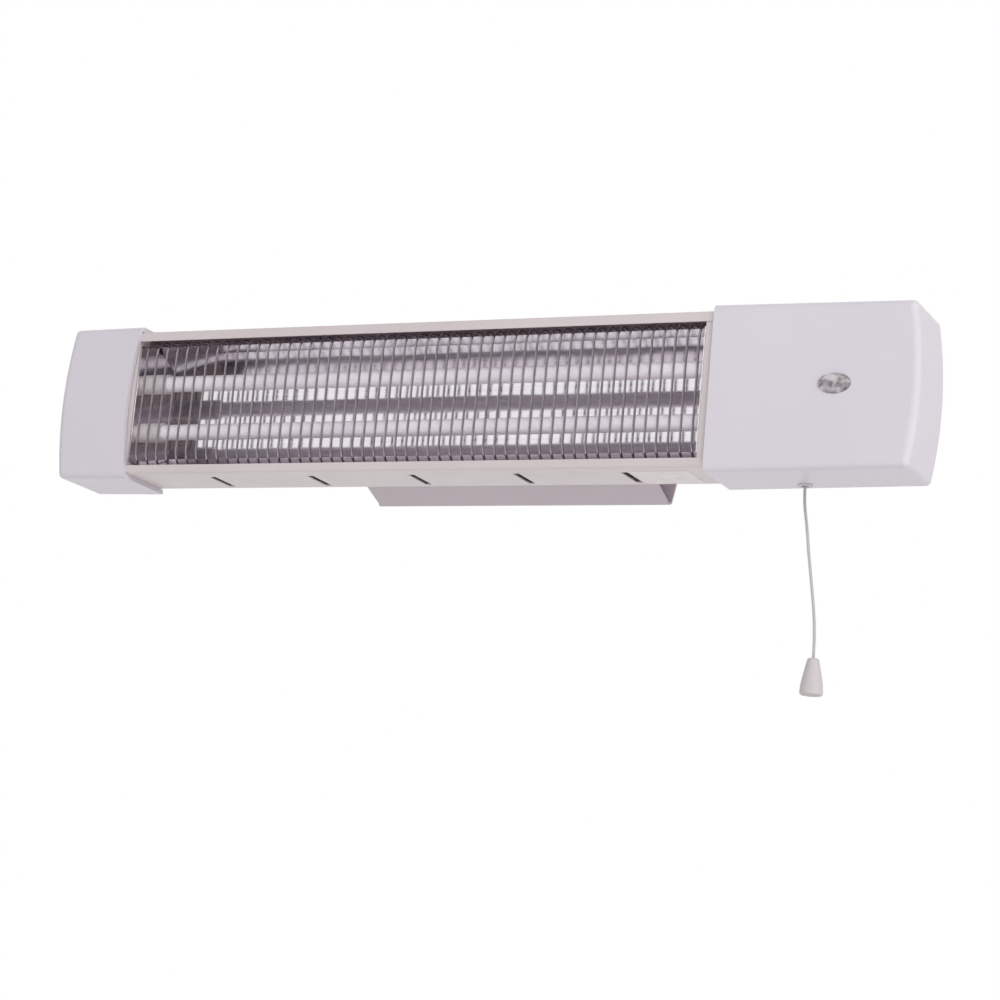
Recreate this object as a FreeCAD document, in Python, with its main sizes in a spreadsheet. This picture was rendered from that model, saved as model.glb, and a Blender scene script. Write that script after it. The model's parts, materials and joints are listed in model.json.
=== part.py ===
import FreeCAD, Part
import math
import os
import re
import Sketcher
from FreeCAD import Placement, Rotation, Vector

# Wall-mounted quartz heater with two tubes, a pull-cord switch and a tilting wall bracket.
# Millimetres. +X runs along the heater to the right, +Y points into the wall, +Z is up.
# The origin is the middle of the wall fixing, on the wall's face.

SIZES = {
    # Overall
    "heater_length": 580,
    "heater_height": 103.2,
    "heater_depth": 49.3,
    "standoff": 61.6,
    "fit_gap": 0.1,
    # End caps
    "left_cap_width": 52.3,
    "right_cap_width": 124.8,
    "cap_crown": 4.7,
    "cap_draft": 0.65,
    "cap_wall": 2.6,
    "cap_rim_wall": 3.2,
    "cap_front_wall": 2.9,
    "cap_corner": 3.2,
    "cap_edge": 4.5,
    "cap_inner_corner": 1.2,
    "boss_diameter": 8,
    "boss_inset": 22,
    "boss_drop": 11,
    "cap_screw_diameter": 3,
    "cap_screw_length": 12,
    "cap_screw_head": 6,
    "cap_screw_head_height": 1.8,
    # Sheet case
    "case_sheet": 0.8,
    "case_bend": 1.2,
    "case_back_inset": 1,
    "case_end_inset": 12,
    "top_lip": 6.5,
    "bottom_lip": 5.6,
    "vent_count": 5,
    "vent_offset": 57.8,
    "vent_end": 50.4,
    "vent_length": 26.8,
    "vent_width": 4.4,
    "vent_inset": 12.3,
    # Bulkheads at the ends of the window
    "jamb_show": 5.6,
    "left_cover": 1.9,
    "jamb_flange": 12.5,
    # Quartz tubes and their ends
    "tube_diameter": 10.5,
    "tube_wall": 1,
    "tube_spacing": 33,
    "tube_inset": 9.9,
    "tube_drop": 2.1,
    "tube_reach": 14,
    "coil_gap": 0.3,
    "coil_wall": 1,
    "ceramic_diameter": 15,
    "ceramic_length": 20,
    "neck_diameter": 13,
    "neck_show": 1.5,
    "left_neck_show": 20.9,
    "stud_diameter": 4,
    "stud_show": 9,
    "stud_head": 1,
    "nut_diameter": 7.2,
    "nut_height": 3,
    "link_sheet": 1,
    "link_width": 8,
    # Reflector
    "reflector_sheet": 0.6,
    "reflector_inset": 14,
    "reflector_gap": 1.3,
    "mouth_drop": 3.6,
    "outer_facet_rise": 23.4,
    "outer_facet_drop": 4.5,
    "inner_facet_rise": 18,
    "inner_facet_drop": 8.2,
    "flat_drop": 19.1,
    "end_flare": 4.6,
    "end_start": 0.5,
    "end_front": 1.6,
    "neck_hole_gap": 0.6,
    # Wire guard
    "wire_diameter": 1.5,
    "wire_count": 52,
    "wire_start": 6,
    "wire_margin": 4.1,
    "wire_bend": 11,
    "guard_drop": 4.5,
    "guard_inset": 1.5,
    "rail_sheet": 1.2,
    "rail_drop": 1.2,
    # Indicator lamp
    "lens_width": 20.6,
    "lens_height": 12.6,
    "lens_dome": 2,
    "lens_lip": 0.7,
    "lens_inset": 46.8,
    "lens_raise": 0.2,
    "holder_wall": 3,
    "holder_depth": 16,
    "holder_cup": 4,
    "lamp_diameter": 6,
    "lamp_length": 15,
    # Pull switch
    "cord_offset": 50.8,
    "cord_inset": 6.8,
    "switch_width": 26,
    "switch_depth": 18,
    "switch_height": 32,
    "switch_floor": 3,
    "switch_roof": 2,
    "switch_bore": 9.2,
    "plunger_diameter": 4.4,
    "plunger_head": 8.2,
    "plunger_head_height": 3,
    "plunger_recess": 0.5,
    "slide_gap": 0.35,
    "spring_diameter": 7.4,
    "spring_wire": 1,
    "bush_wall": 1.1,
    "bush_flange": 9,
    "bush_flange_height": 0.8,
    # Pull cord and its knob
    "cord_diameter": 2,
    "cord_gap": 0.7,
    "knob_height": 22,
    "knob_top": 7.2,
    "knob_bottom": 14,
    "knob_skirt": 7,
    "knob_round": 0.8,
    # Supply side
    "block_width": 30,
    "block_depth": 15,
    "block_height": 16,
    "block_inset": 58.4,
    "block_drop": 17.1,
    "block_pitch": 9.5,
    "block_bore": 4,
    "block_screw": 5,
    "block_screw_depth": 6,
    "gland_bore": 8,
    "gland_barrel": 12,
    "gland_flange": 18,
    "gland_flange_height": 3,
    "gland_tail": 6,
    "gland_inset": 34.4,
    "gland_drop": 20,
    "earth_diameter": 4,
    "earth_head": 8,
    "earth_head_height": 2.6,
    "earth_offset": 32,
    "earth_drop": 13.1,
    "cutout_flange": 15,
    "cutout_diameter": 12,
    "cutout_length": 9,
    "lead_diameter": 2.2,
    "lead_insert": 7,
    "lead_slack": 12,
    # Wall bracket and tilt pivot
    "bracket_width": 206.4,
    "bracket_spread": 3.2,
    "bracket_spread_height": 15,
    "bracket_height": 97,
    "bracket_sheet": 1.5,
    "bracket_bend": 1.5,
    "bracket_flange": 30,
    "bracket_slope": 21,
    "slot_spacing": 160,
    "slot_width": 5.5,
    "slot_length": 12,
    "pivot_reach": 30,
    "pivot_spacing": 110,
    "pivot_diameter": 5,
    "pivot_fit": 0.05,
    "ear_sheet": 1.5,
    "ear_tip": 10,
    "ear_height": 30,
    "ear_foot": 20,
    "lug_tip": 9,
    "lug_height": 26,
    "washer_diameter": 15,
    "washer_sheet": 0.9,
    "pivot_head": 10,
    "pivot_head_height": 3,
    "pivot_nut": 10,
    "pivot_nut_height": 4.5,
    "pivot_tail": 1.4,
    "rivet_diameter": 4,
    "rivet_head": 7,
    "rivet_head_height": 1,
    "rivet_spacing": 18,
}

# Places worked out from the sizes
HALF = "(heater_length / 2)"
CAP_BACK = "(-standoff)"
CAP_FRONT = "(-standoff - heater_depth)"
CAP_TOP = "(heater_height / 2)"
CAP_INNER_TOP = "(heater_height / 2 - cap_rim_wall)"
CAP_INNER_FRONT = f"({CAP_FRONT} + cap_front_wall)"
CASE_BACK = "(-standoff - case_back_inset)"
CASE_FRONT = f"({CAP_INNER_FRONT} + fit_gap)"
CASE_TOP = f"({CAP_INNER_TOP} - fit_gap)"
CASE_INNER_TOP = f"({CASE_TOP} - case_sheet)"
CASE_INNER_BACK = f"({CASE_BACK} - case_sheet)"
LIP_BACK = f"({CASE_FRONT} + case_sheet)"
CASE_END = f"({HALF} - case_end_inset)"
LEFT_EDGE = f"(-{HALF} + left_cap_width)"
RIGHT_EDGE = f"({HALF} - right_cap_width)"
WINDOW_LEFT = f"({LEFT_EDGE} - left_cover)"
WINDOW_RIGHT = f"({RIGHT_EDGE} - jamb_show)"
BULKHEAD_TOP = f"({CASE_INNER_TOP} - case_bend - fit_gap)"
TUBE_Y = f"({CASE_FRONT} + tube_inset)"
TUBE_LEFT = f"({WINDOW_LEFT} - tube_reach)"
TUBE_LENGTH = f"({WINDOW_RIGHT} - {WINDOW_LEFT} + 2 * tube_reach)"
BORE_DEPTH = "(tube_reach - case_sheet + fit_gap)"
REFLECTOR_FRONT = f"({CASE_FRONT} + reflector_inset)"
REFLECTOR_BACK = f"({CASE_INNER_BACK} - reflector_gap - reflector_sheet)"
MOUTH = f"({CASE_INNER_TOP} - mouth_drop)"
VENT_PITCH = f"(({WINDOW_RIGHT} - {LEFT_EDGE} - vent_offset - vent_end) / (vent_count - 1))"
WIRE_PITCH = f"(({WINDOW_RIGHT} - {WINDOW_LEFT} - wire_start - wire_margin) / (wire_count - 1))"
GUARD_HALF = f"({CASE_INNER_TOP} - guard_drop)"
RAIL_FRONT = f"({CASE_FRONT} + guard_inset + wire_bend)"
BOSS_X = f"({HALF} - boss_inset)"
BOSS_Z = f"({CAP_INNER_TOP} - boss_drop)"
CORD_X = f"({RIGHT_EDGE} + cord_offset)"
CORD_Y = f"({CASE_INNER_BACK} - cord_inset)"
SWITCH_BACK = f"({CASE_INNER_BACK} - case_bend)"
SWITCH_FRONT = f"({SWITCH_BACK} - switch_depth)"
SWITCH_BASE = f"(-{CASE_INNER_TOP})"
SWITCH_TOP = f"({SWITCH_BASE} + switch_height)"
SWITCH_FLOOR = f"({SWITCH_BASE} + switch_floor)"
SWITCH_ROOF = f"({SWITCH_TOP} - switch_roof)"
BUSH_BARREL = "(plunger_diameter + 2 * slide_gap + 2 * bush_wall)"
CORD_SEAT = f"(-{CAP_TOP} + cord_offset * tan(cap_draft) - fit_gap)"
PLUNGER_END = f"({CORD_SEAT} + fit_gap + plunger_recess)"
PLUNGER_SHOULDER = f"({SWITCH_ROOF} - slide_gap - plunger_head_height)"
CORD_TOP = f"({PLUNGER_END} - cord_gap)"
LENS_X = f"({HALF} - lens_inset)"
LAMP_FRONT = f"({CAP_INNER_FRONT} + holder_cup / 2)"
BLOCK_X = f"({HALF} - block_inset)"
BLOCK_FRONT = f"({CASE_INNER_BACK} - block_depth)"
BLOCK_MIDDLE = f"({CASE_INNER_BACK} - block_depth / 2)"
BLOCK_TOP = f"({CASE_INNER_TOP} - block_drop)"
BLOCK_BASE = f"({BLOCK_TOP} - block_height)"
GLAND_X = f"({HALF} - gland_inset)"
EARTH_X = f"({RIGHT_EDGE} + earth_offset)"
EARTH_Z = f"({CASE_INNER_TOP} - earth_drop)"
PIVOT_Y = "(-pivot_reach)"
EAR_BASE = "(-bracket_sheet)"
EAR_X = "(pivot_spacing / 2)"
EAR_FOOT = f"({EAR_X} + ear_sheet - ear_foot / 2)"
LUG_X = f"({EAR_X} - washer_sheet - 2 * fit_gap - ear_sheet)"
LUG_FOOT = f"({LUG_X} + ear_sheet - ear_foot / 2)"

# Turns that point a piece's own Z axis along a direction
TURNS = {
    "+X": Rotation(Vector(0, 1, 0), 90),
    "-X": Rotation(Vector(0, 1, 0), -90),
    "+Y": Rotation(Vector(1, 0, 0), -90),
    "-Y": Rotation(Vector(1, 0, 0), 90),
    "+Z": Rotation(),
}
SIDES = {"left": -1, "right": 1}
LEVELS = {"upper": 1, "lower": -1}
NEAR = 0.01
PAST = 5
# Share of the shorter run that a cord's or lead's bend takes up
BEND_SHARE = 0.45

# Pull cord route, as offsets from its top end: along X, along Y, and down
CORD_ROUTE = [
    (0, 0, 0),
    (0, 0, 10),
    (2.4, 0.9, 24),
    (4.4, 1.8, 41),
    (7, 3.2, 59.5),
    (9, 4.6, 75),
    (10.3, 5.6, 91),
    (10.3, 5.6, 103.6),
]

doc = FreeCAD.newDocument("quartz_heater")
sheet = doc.addObject("Spreadsheet::Sheet", "Sizes")
nodes = []


def tube_height(way):
    """Height of the upper (1) or lower (-1) tube's axis."""
    return f"({way} * tube_spacing / 2 - tube_drop)"


def fill_sheet():
    for row, (alias, size) in enumerate(SIZES.items(), start=1):
        sheet.set(f"A{row}", alias)
        sheet.set(f"B{row}", str(size))
        sheet.setAlias(f"B{row}", alias)
    doc.recompute()


def tied(text):
    """An expression in which each size's name points at its cell."""
    return re.sub(r"[a-z_]+", lambda word: f"Sizes.{word[0]}" if word[0] in SIZES else word[0], str(text))


def value(text):
    return float(sheet.evalExpression(tied(text)))


def node(label, item):
    item.Label = label
    nodes.append(item)
    return item


# Sketches

def sketch_on(body, plane, offset):
    sketch = body.newObject("Sketcher::SketchObject", f"{body.Name}_sketch")
    support = next(part for part in body.Origin.OriginFeatures if part.Role == f"{plane}_Plane")
    sketch.AttachmentSupport = [(support, "")]
    sketch.MapMode = "FlatFace"
    sketch.setExpression("AttachmentOffset.Base.z", tied(offset))
    return sketch


def pin_point(sketch, geometry, end, place):
    for kind, text in zip(("DistanceX", "DistanceY"), place):
        index = sketch.addConstraint(Sketcher.Constraint(kind, -1, 1, geometry, end, value(text)))
        sketch.setExpression(f"Constraints[{index}]", tied(text))


def draw(sketch, points, closed=True, crowns=None):
    """Lines through points; a segment in crowns is an arc of that rise, right of its run, and chord."""
    crowns = crowns or {}
    spots = [Vector(value(x), value(y), 0) for x, y in points]
    ends = spots[1:] + spots[:1] if closed else spots[1:]
    for index, (start, stop) in enumerate(zip(spots, ends)):
        if index in crowns:
            run = stop - start
            rise = Vector(run.y, -run.x, 0).normalize() * value(crowns[index][0])
            sketch.addGeometry(Part.Arc(start, (start + stop) * 0.5 + rise, stop))
        else:
            sketch.addGeometry(Part.LineSegment(start, stop))
    for index, place in enumerate(points):
        if index < len(ends):
            pin_point(sketch, index, end_of(sketch, index, spots[index]), place)
        else:
            pin_point(sketch, index - 1, 2, place)
    for index, stop in enumerate(ends):
        after = (index + 1) % len(spots)
        if after < len(ends):
            joint = (index, end_of(sketch, index, stop), after, end_of(sketch, after, stop))
            sketch.addConstraint(Sketcher.Constraint("Coincident", *joint))
    for index, (rise, chord) in crowns.items():
        radius = f"(({chord}) ^ 2 / 4 + ({rise}) ^ 2) / (2 * abs({rise}))"
        spot = sketch.addConstraint(Sketcher.Constraint("Radius", index, value(radius)))
        sketch.setExpression(f"Constraints[{spot}]", tied(radius))


def end_of(sketch, geometry, spot):
    """Which end of a line or arc lies at a spot: 1 for its start, 2 for its end."""
    return 1 if sketch.getPoint(geometry, 1).distanceToPoint(spot) < NEAR else 2


# Building blocks

def seat(item, place, turn=Rotation()):
    item.Placement = Placement(Vector(), turn)
    for axis, text in zip("xyz", place):
        item.setExpression(f"Placement.Base.{axis}", tied(text))


def new_body(name):
    return doc.addObject("PartDesign::Body", name)


def prism(name, plane, points, start, length, crowns=None):
    body = new_body(name)
    sketch = sketch_on(body, plane, start)
    draw(sketch, points, crowns=crowns)
    pad = body.newObject("PartDesign::Pad", f"{name}_pad")
    pad.Profile = sketch
    pad.setExpression("Length", tied(length))
    doc.recompute()
    return body


def rounded(body, radius, keep):
    """Rounds the body's edges that keep picks."""
    base = body.Tip
    names = [f"Edge{number}" for number, edge in enumerate(base.Shape.Edges, 1) if keep(edge)]
    fillet = body.newObject("PartDesign::Fillet", f"{body.Name}_round")
    fillet.Base = (base, names)
    fillet.setExpression("Radius", tied(radius))
    doc.recompute()
    return body


def turned(name, outline, place, axis):
    """A turned piece: outline is (radius, height) about its own axis."""
    body = new_body(name)
    sketch = sketch_on(body, "XZ", "0")
    draw(sketch, outline)
    turn = body.newObject("PartDesign::Revolution", f"{name}_turn")
    turn.Profile = sketch
    turn.ReferenceAxis = (sketch, ["V_Axis"])
    turn.Angle = 360
    seat(body, place, TURNS[axis])
    return body


def box(name, low, size):
    item = doc.addObject("Part::Box", name)
    for side, text in zip(("Length", "Width", "Height"), size):
        item.setExpression(side, tied(text))
    seat(item, low)
    return item


def cylinder(name, axis, start, diameter, length):
    item = doc.addObject("Part::Cylinder", name)
    item.setExpression("Radius", tied(f"({diameter}) / 2"))
    item.setExpression("Height", tied(length))
    seat(item, start, TURNS[axis])
    return item


def cut(name, base, tools):
    item = doc.addObject("Part::Cut", name)
    item.Base = base
    item.Tool = tools[0] if len(tools) == 1 else group(f"{name}_tools", tools)
    return item


def fuse(name, pieces):
    item = doc.addObject("Part::MultiFuse", name)
    item.Shapes = pieces
    item.Refine = True
    return item


def group(name, pieces):
    item = doc.addObject("Part::Compound", name)
    item.Links = pieces
    return item


def folded(name, points, sheet_size, start, length):
    """Sheet folded along an open line drawn in the YZ plane, its thickness to the left of the line."""
    path = doc.addObject("Sketcher::SketchObject", f"{name}_path")
    path.Placement = Placement(Vector(), Rotation(Vector(1, 1, 1), 120))
    path.setExpression("Placement.Base.x", tied(start))
    draw(path, points, closed=False)
    strip = doc.addObject("Part::Offset2D", f"{name}_strip")
    strip.Source = path
    strip.Mode = "Skin"
    strip.Join = "Intersection"
    strip.Fill = True
    strip.setExpression("Value", tied(f"-({sheet_size})"))
    item = doc.addObject("Part::Extrusion", name)
    item.Base = strip
    item.DirMode = "Custom"
    item.Dir = Vector(1, 0, 0)
    item.Solid = True
    item.setExpression("LengthFwd", tied(length))
    doc.recompute()
    return item


def runs_along_x(edge, spots):
    """Whether an edge is parallel to X and stands at one of the (y, z) spots."""
    first, last = edge.Vertexes[0].Point, edge.Vertexes[-1].Point
    level = math.hypot(first.y - last.y, first.z - last.z) < NEAR
    return level and any(math.hypot(first.y - y, first.z - z) < NEAR for y, z in spots)


# Sheet case

def case_shell():
    outer = [
        (CASE_FRONT, f"-{CASE_TOP}"),
        (CASE_BACK, f"-{CASE_TOP}"),
        (CASE_BACK, CASE_TOP),
        (CASE_FRONT, CASE_TOP),
    ]
    inner = [
        (LIP_BACK, CASE_INNER_TOP),
        (CASE_INNER_BACK, CASE_INNER_TOP),
        (CASE_INNER_BACK, f"-{CASE_INNER_TOP}"),
        (LIP_BACK, f"-{CASE_INNER_TOP}"),
    ]
    top_edge = f"({CASE_TOP} - top_lip)"
    bottom_edge = f"(-{CASE_TOP} + bottom_lip)"
    outline = outer + [(CASE_FRONT, top_edge), (LIP_BACK, top_edge)]
    outline += inner + [(LIP_BACK, bottom_edge), (CASE_FRONT, bottom_edge)]
    body = prism("case_blank", "YZ", outline, f"-{CASE_END}", f"2 * {CASE_END}")
    for bends, radius in ((outer, "case_bend + case_sheet"), (inner, "case_bend")):
        spots = [(value(y), value(z)) for y, z in bends]
        rounded(body, radius, lambda edge: runs_along_x(edge, spots))
    node("case_shell", cut("case_cut", body, vents() + case_holes()))


def vents():
    slots = []
    for number in range(int(value("vent_count"))):
        middle = f"({LEFT_EDGE} + vent_offset + {number} * {VENT_PITCH})"
        for level in (-1, 1):
            low = (f"{middle} - vent_width / 2", f"{CASE_FRONT} + vent_inset",
                   f"{level} * {CASE_TOP} - 2 * case_sheet")
            slots.append(box("vent", low, ("vent_width", "vent_length", "4 * case_sheet")))
    return slots


def through_back(name, x, z, diameter):
    return cylinder(name, "+Y", (x, f"{CASE_INNER_BACK} - case_sheet", z), diameter, "3 * case_sheet")


def case_holes():
    holes = [through_back("cap_screw_hole", x, z, "cap_screw_diameter + 2 * fit_gap")
             for x, z in boss_places()]
    holes += [through_back("lug_rivet_hole", x, z, "rivet_diameter + 2 * fit_gap")
              for x, z in rivet_places(LUG_FOOT)]
    holes.append(through_back("gland_hole", GLAND_X, "-gland_drop", "gland_barrel + 2 * fit_gap"))
    holes.append(through_back("earth_hole", EARTH_X, EARTH_Z, "earth_diameter + 2 * fit_gap"))
    holes.append(cylinder("case_cord_hole", "+Z", (CORD_X, CORD_Y, f"-{CASE_TOP} - case_sheet"),
                          f"{BUSH_BARREL} + 2 * fit_gap", "3 * case_sheet"))
    return holes


def boss_places():
    return [(f"{side} * {BOSS_X}", f"{level} * {BOSS_Z}")
            for side in SIDES.values() for level in LEVELS.values()]


def rivet_places(foot):
    return [(f"{side} * {foot}", f"{level} * rivet_spacing / 2")
            for side in SIDES.values() for level in LEVELS.values()]


# Bulkheads: the plates at the ends of the window, each with a front flange that makes the jamb

def bulkheads():
    for side, edge, way in (("left", WINDOW_LEFT, -1), ("right", WINDOW_RIGHT, 1)):
        plate = f"({edge} + {way} * case_sheet)"
        flange = f"({edge} + {way} * jamb_flange)"
        outline = [
            (edge, LIP_BACK),
            (edge, CASE_INNER_BACK),
            (plate, CASE_INNER_BACK),
            (plate, f"{LIP_BACK} + case_sheet"),
            (flange, f"{LIP_BACK} + case_sheet"),
            (flange, LIP_BACK),
        ]
        blank = prism(f"bulkhead_{side}_blank", "XY", outline, f"-{BULKHEAD_TOP}", f"2 * {BULKHEAD_TOP}")
        before = f"{edge} - 2 * case_sheet"
        holes = [cylinder("neck_hole", "+X", (before, TUBE_Y, tube_height(level)),
                          "neck_diameter + 2 * fit_gap", "4 * case_sheet") for level in LEVELS.values()]
        node(f"bulkhead_{side}", cut(f"bulkhead_{side}_cut", blank, holes))


# Reflector trough and its flared ends

def facet_points():
    """The reflecting line from the upper mouth to the flat back, as (y, half height)."""
    return [
        (REFLECTOR_FRONT, MOUTH),
        (f"({REFLECTOR_BACK} - outer_facet_rise)", f"({CASE_INNER_TOP} - outer_facet_drop)"),
        (f"({REFLECTOR_BACK} - inner_facet_rise)", f"({CASE_INNER_TOP} - inner_facet_drop)"),
        (REFLECTOR_BACK, f"({CASE_INNER_TOP} - flat_drop)"),
    ]


def reflector():
    upper = [(REFLECTOR_FRONT, f"({CASE_INNER_TOP} - fit_gap)")] + facet_points()
    lower = [(y, f"-{z}") for y, z in reversed(upper)]
    length = f"{WINDOW_RIGHT} - {WINDOW_LEFT} - 2 * fit_gap"
    node("reflector", folded("reflector_sheet_metal", upper + lower, "reflector_sheet",
                             f"{WINDOW_LEFT} + fit_gap", length))


def reflector_ends():
    front = f"({CASE_FRONT} + end_front)"
    for side, edge, way in (("left", WINDOW_LEFT, 1), ("right", WINDOW_RIGHT, -1)):
        slab_outline = [
            (f"{edge} + {way} * end_start", front),
            (f"{edge} + {way} * end_flare", REFLECTOR_BACK),
            (f"{edge} + {way} * (end_flare + reflector_sheet)", REFLECTOR_BACK),
            (f"{edge} + {way} * (end_start + reflector_sheet)", front),
        ]
        slab = prism(f"end_{side}_slab", "XY", slab_outline, f"-{MOUTH}", f"2 * {MOUTH}")
        facets = facet_points()[2:]
        upper = [(front, facets[0][1])] + facets
        clear = [(f"{y} - 2 * fit_gap", f"({z} - 2 * fit_gap)") for y, z in upper]
        clip_outline = clear + [(y, f"-{z}") for y, z in reversed(clear)]
        clip = prism(f"end_{side}_clip", "YZ", clip_outline, WINDOW_LEFT, f"{WINDOW_RIGHT} - {WINDOW_LEFT}")
        plate = doc.addObject("Part::Common", f"end_{side}_plate")
        plate.Base = slab
        plate.Tool = clip
        holes = [cylinder("end_neck_hole", "+X", (TUBE_LEFT, TUBE_Y, tube_height(level)),
                          "neck_diameter + 2 * neck_hole_gap", TUBE_LENGTH) for level in LEVELS.values()]
        node(f"reflector_end_{side}", cut(f"end_{side}_cut", plate, holes))


# Quartz tubes, heating coils, ceramic ends and terminals

def hollow(name, axis, start, diameter, wall, length):
    return cut(name, cylinder(f"{name}_outside", axis, start, diameter, length),
               [cylinder(f"{name}_inside", axis, start, f"{diameter} - 2 * ({wall})", length)])


def quartz_tubes():
    for level, way in LEVELS.items():
        height = tube_height(way)
        node(f"quartz_tube_{level}", hollow(f"tube_{level}", "+X", (TUBE_LEFT, TUBE_Y, height),
                                            "tube_diameter", "tube_wall", TUBE_LENGTH))
        coil = "(tube_diameter - 2 * tube_wall - 2 * coil_gap)"
        node(f"heating_coil_{level}", hollow(f"coil_{level}", "+X", (TUBE_LEFT, TUBE_Y, height),
                                             coil, "coil_wall", TUBE_LENGTH))


def tube_ends():
    bore = "(tube_diameter / 2 + fit_gap)"
    stud_hole = "(stud_diameter / 2 + fit_gap)"
    studs = []
    for side, edge, way, neck, link in (("left", WINDOW_LEFT, -1, "left_neck_show", "link_sheet"),
                                        ("right", WINDOW_RIGHT, 1, "neck_show", "0")):
        neck_end = f"(-case_sheet - {neck})"
        ceramic = [
            (bore, neck_end),
            ("neck_diameter / 2", neck_end),
            ("neck_diameter / 2", "0"),
            ("ceramic_diameter / 2", "0"),
            ("ceramic_diameter / 2", "ceramic_length"),
            (stud_hole, "ceramic_length"),
            (stud_hole, f"{BORE_DEPTH} + stud_head"),
            (bore, f"{BORE_DEPTH} + stud_head"),
        ]
        for level, rise in LEVELS.items():
            place = (f"{edge} + {way} * case_sheet", TUBE_Y, tube_height(rise))
            axis = "+X" if way > 0 else "-X"
            node(f"ceramic_end_{level}_{side}", turned(f"ceramic_{level}_{side}", ceramic, place, axis))
            nut_base = f"(ceramic_length + {link})"
            stud = [
                ("0", BORE_DEPTH),
                (f"{bore} - fit_gap", BORE_DEPTH),
                (f"{bore} - fit_gap", f"{BORE_DEPTH} + stud_head"),
                ("stud_diameter / 2", f"{BORE_DEPTH} + stud_head"),
                ("stud_diameter / 2", nut_base),
                ("nut_diameter / 2", nut_base),
                ("nut_diameter / 2", f"{nut_base} + nut_height"),
                ("stud_diameter / 2", f"{nut_base} + nut_height"),
                ("stud_diameter / 2", "ceramic_length + stud_show"),
                ("0", "ceramic_length + stud_show"),
            ]
            studs.append(turned(f"stud_{level}_{side}", stud, place, axis))
    node("tube_terminals", group("stud_set", studs))


def link_strip():
    outside = f"({WINDOW_LEFT} - case_sheet - ceramic_length - link_sheet)"
    length = "(tube_spacing + link_width)"
    strip = box("link_blank", (outside, f"{TUBE_Y} - link_width / 2", f"-{length} / 2 - tube_drop"),
                ("link_sheet", "link_width", length))
    holes = [cylinder("link_hole", "+X", (f"{outside} - link_sheet", TUBE_Y, tube_height(way)),
                      "stud_diameter + 2 * fit_gap", "3 * link_sheet") for way in LEVELS.values()]
    node("link_strip", cut("link_cut", strip, holes))


# Wire guard: bent wires welded to an upper and a lower rail

def wire_guard():
    rail_low = f"({GUARD_HALF} - wire_diameter / 2 - rail_drop)"
    rail_height = f"({CASE_INNER_TOP} - fit_gap - {rail_low})"
    size = (f"{WINDOW_RIGHT} - {WINDOW_LEFT} - 2 * fit_gap", "rail_sheet", rail_height)
    rails = [box("guard_rail", (f"{WINDOW_LEFT} + fit_gap", RAIL_FRONT, low), size)
             for low in (rail_low, f"-{rail_low} - {rail_height}")]
    node("wire_guard", fuse("guard", rails + guard_wires()))


def guard_wires():
    """One bent wire, carried to each place along the window."""
    front = value(f"{CASE_FRONT} + guard_inset")
    bend = value("wire_bend")
    half = value(GUARD_HALF)
    back = front + bend + value("rail_sheet / 2")
    round_in = bend * (1 - math.sqrt(0.5))
    upper = [
        Vector(0, front + bend, half),
        Vector(0, front + round_in, half - round_in),
        Vector(0, front, half - bend),
    ]
    lower = [Vector(0, spot.y, -spot.z) for spot in reversed(upper)]
    start = Vector(0, back, half)
    path = Part.Wire([
        Part.LineSegment(start, upper[0]).toShape(),
        Part.Arc(*upper).toShape(),
        Part.LineSegment(upper[2], lower[0]).toShape(),
        Part.Arc(*lower).toShape(),
        Part.LineSegment(lower[2], Vector(0, back, -half)).toShape(),
    ])
    ring = Part.Wire(Part.Circle(start, Vector(0, 1, 0), value("wire_diameter / 2")).toShape())
    wire = path.makePipeShell([ring], True, False)
    wires = []
    for number in range(int(value("wire_count"))):
        item = doc.addObject("Part::Feature", "guard_wire")
        item.Shape = wire
        x = value(f"{WINDOW_LEFT} + wire_start + {number} * {WIRE_PITCH}")
        item.Placement = Placement(Vector(x, 0, 0), Rotation())
        wires.append(item)
    return wires


# End caps: moulded shells over the ends of the case

def cap_block(name, way, inner_edge, end, halves, start, depth, corner, inner_bow=None):
    """A block with a crowned end; halves are its half heights at the inner edge and at the end."""
    half, end_half = halves
    outline = [(inner_edge, f"-{half}"), (inner_edge, half), (end, end_half), (end, f"-{end_half}")]
    crowned = 2
    if way > 0:
        outline.reverse()
        crowned = 0
    crowns = {crowned: ("cap_crown", f"2 * {end_half}")}
    if inner_bow:
        crowns[2 - crowned] = (f"-{inner_bow}", f"2 * {half}")
    body = prism(name, "XZ", outline, start, depth, crowns=crowns)
    spots = [(value(end), sign * value(end_half)) for sign in (-1, 1)]

    def at_corner(edge):
        first, last = edge.Vertexes[0].Point, edge.Vertexes[-1].Point
        upright = math.hypot(first.x - last.x, first.z - last.z) < NEAR
        return upright and any(math.hypot(first.x - x, first.z - z) < NEAR for x, z in spots)

    return rounded(body, corner, at_corner)


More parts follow.
